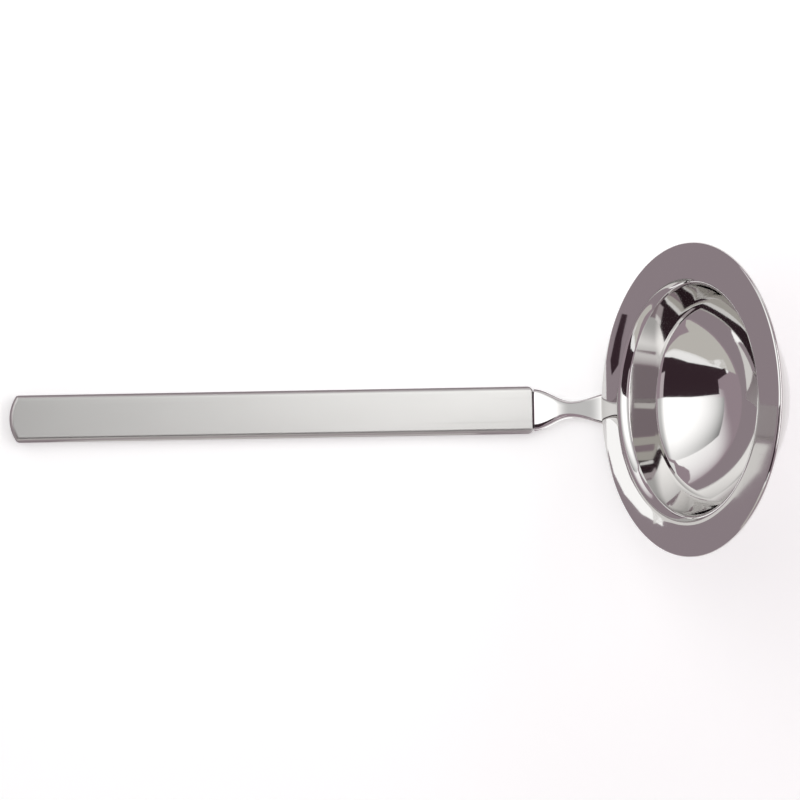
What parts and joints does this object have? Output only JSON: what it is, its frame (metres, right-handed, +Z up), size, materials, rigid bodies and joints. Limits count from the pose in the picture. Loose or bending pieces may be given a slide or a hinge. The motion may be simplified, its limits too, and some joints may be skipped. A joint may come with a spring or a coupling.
{
  "type": "sauce ladle",
  "caption": "Stainless sauce ladle with a round bowl and flat brim set steeply on a slim flat bar handle, joined by a waisted neck.",
  "frame": {"origin": "middle of the overall length and width, on the surface that the ladle lies on", "axes": "+X along the handle from its tail to the bowl, +Y across, +Z up from the handle's flat underside"},
  "size_m": [0.191, 0.076, 0.0687],
  "materials": {
    "satin_handle": "stainless steel, fine satin grind along the bar",
    "polished_neck": "stainless steel, mirror polished forging",
    "polished_bowl": "stainless steel, mirror polished pressing",
    "dressed_weld": "stainless filler metal, dressed and buffed"
  },
  "bodies": {
    "root": {"handle": "satin_handle", "neck": "polished_neck", "bowl": "polished_bowl", "weld_bead": "dressed_weld"}
  },
  "joints": []
}
